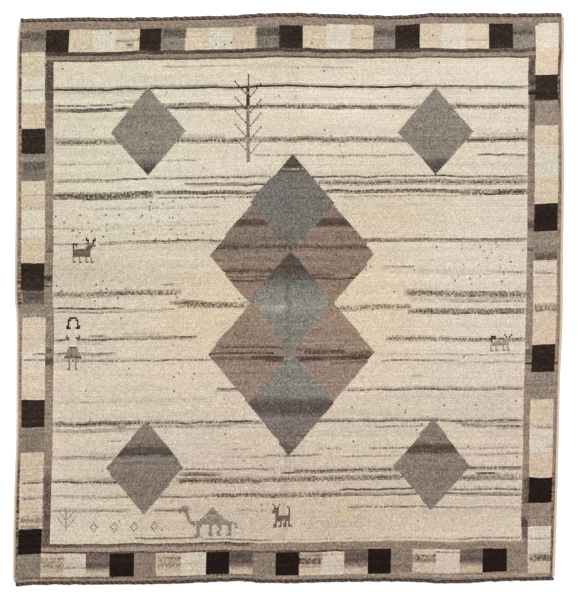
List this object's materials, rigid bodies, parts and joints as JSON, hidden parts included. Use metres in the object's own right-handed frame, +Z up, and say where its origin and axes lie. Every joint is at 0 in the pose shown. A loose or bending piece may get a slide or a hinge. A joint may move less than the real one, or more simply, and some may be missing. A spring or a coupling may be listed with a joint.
{
  "type": "gabbeh rug",
  "caption": "Nearly square hand-knotted wool rug lying flat, with a short pile, overcast side cords and twined end cords.",
  "frame": {"origin": "under the middle of the rug's outline box, on the surface that the rug lies on", "axes": "+Z up out of the pile, +Y along the warps towards the rug's top end, +X across the rug to the right"},
  "size_m": [1.511, 1.5712, 0.0122],
  "materials": {
    "pile_wool": "short hand-knotted undyed wool pile, cream with taupe, grey and dark brown patterning, matt",
    "selvedge_wool": "pale natural wool yarn, overcast in fine wraps round the side cords, matt",
    "end_cord_wool": "dark brown wool yarn, twined in a rope twist over the warp ends, matt and slightly hairy"
  },
  "bodies": {
    "root": {"pile_rug": "pile_wool", "selvedge_left": "selvedge_wool", "selvedge_right": "selvedge_wool", "end_cord_bottom": "end_cord_wool", "end_cord_top": "end_cord_wool"}
  },
  "joints": []
}
